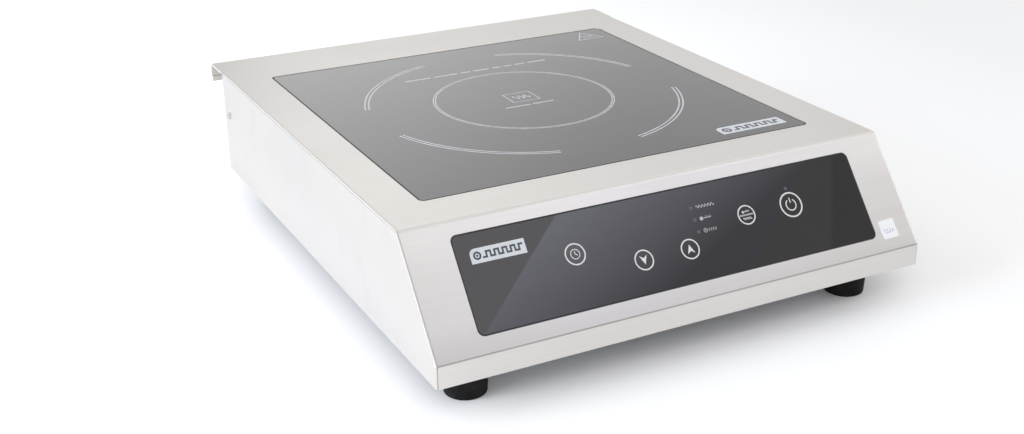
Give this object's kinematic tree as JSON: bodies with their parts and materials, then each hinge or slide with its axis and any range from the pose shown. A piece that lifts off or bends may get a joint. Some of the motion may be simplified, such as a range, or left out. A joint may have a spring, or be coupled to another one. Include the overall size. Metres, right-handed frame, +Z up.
{
  "type": "induction hob",
  "caption": "Countertop induction hob: folded stainless casing on rubber feet, flush black glass cooking plate, sloped touch panel and a turned-down rear overhang.",
  "frame": {"origin": "on the floor under the middle of the casing, half way between its front lip and its rear overhang", "axes": "+Z up, +Y to the rear, +X to the right seen from the front, where the touch panel slopes"},
  "size_m": [0.3416, 0.415, 0.0995],
  "materials": {
    "casing_steel": "satin brushed stainless steel",
    "galvanised_sheet": "plain zinc-coated sheet",
    "glass_ceramic": "polished opaque black glass-ceramic with pale print",
    "panel_glass": "polished toughened glass, black printed behind",
    "seal_silicone": "matt silicone",
    "foot_rubber": "matt moulded rubber",
    "zinc_steel": "bright zinc-plated",
    "gland_plastic": "matt moulded nylon",
    "gland_rubber": "matt rubber",
    "former_plastic": "matt heat-resistant moulding",
    "copper": "stranded enamelled copper",
    "ferrite": "matt sintered",
    "mica": "matt pressed mica",
    "white_silicone": "matt white silicone",
    "post_aluminium": "turned",
    "board_green": "solder-masked laminate",
    "sink_aluminium": "as extruded",
    "package_black": "moulded epoxy",
    "film_capacitor": "potted box",
    "filter_box": "potted box",
    "choke_winding": "enamelled wire on a core",
    "transformer_tape": "taped bobbin and core",
    "fuse_glass": "glass cartridge with metal caps",
    "terminal_plastic": "moulded nylon",
    "carrier_plastic": "moulded ABS",
    "pad_rubber": "conductive foam rubber",
    "display_plastic": "smoked display module",
    "lamp_red": "clear red resin",
    "fan_plastic": "glass-filled moulding",
    "magnet": "bonded magnet",
    "ground_steel": "ground",
    "wire_insulation": "sleeved wire",
    "ribbon_grey": "flat cable"
  },
  "bodies": {
    "root": {"top_cover": "casing_steel", "glass_support_frame": "galvanised_sheet", "glass_plate": "glass_ceramic", "glass_seal": "seal_silicone", "control_support_frame": "galvanised_sheet", "control_glass": "panel_glass", "control_gasket": "seal_silicone", "base_pan": "galvanised_sheet", "rear_panel": "casing_steel", "rear_panel_screws": "casing_steel", "base_screws": "zinc_steel", "foot_screws": "zinc_steel", "cord_gland_body": "gland_plastic", "cord_gland_seal": "gland_rubber", "cord_gland_cap": "gland_plastic", "cord_gland_locknut": "gland_plastic", "coil_former": "former_plastic", "coil_winding": "copper", "ferrite_bars": "ferrite", "coil_insulation_sheet": "mica", "temperature_sensor": "white_silicone", "coil_posts": "post_aluminium", "coil_screws": "zinc_steel", "coil_leads": "wire_insulation", "power_board": "board_green", "board_standoffs": "post_aluminium", "board_screws": "zinc_steel", "heatsink": "sink_aluminium", "power_transistors": "package_black", "bridge_rectifier": "package_black", "resonant_capacitors": "film_capacitor", "filter_capacitor": "filter_box", "filter_choke": "choke_winding", "supply_transformer": "transformer_tape", "fuse": "fuse_glass", "terminal_block": "terminal_plastic", "control_carrier": "carrier_plastic", "control_board": "board_green", "touch_pads": "pad_rubber", "led_display": "display_plastic", "indicator_leds": "lamp_red", "buzzer": "package_black", "ribbon_cable": "ribbon_grey", "fan_bearings": "ground_steel", "fan_screws": "zinc_steel", "fan_leads": "wire_insulation", "foot_front_left": "foot_rubber", "foot_front_right": "foot_rubber", "foot_rear_left": "foot_rubber", "foot_rear_right": "foot_rubber", "fan_left_housing": "fan_plastic", "fan_left_stator": "copper", "fan_right_housing": "fan_plastic", "fan_right_stator": "copper"},
    "fan_left_wheel": {"fan_left_rotor": "fan_plastic", "fan_left_magnet": "magnet", "fan_left_shaft": "ground_steel"},
    "fan_right_wheel": {"fan_right_rotor": "fan_plastic", "fan_right_magnet": "magnet", "fan_right_shaft": "ground_steel"}
  },
  "joints": [
    {"name": "fan_left_spin", "type": "hinge", "parent": "root", "child": "fan_left_wheel", "pos_m": [-0.07, -0.105, 0.0385], "axis": [0, 0, 1], "continuous": true},
    {"name": "fan_right_spin", "type": "hinge", "parent": "root", "child": "fan_right_wheel", "pos_m": [0.07, -0.105, 0.0385], "axis": [0, 0, 1], "continuous": true}
  ]
}
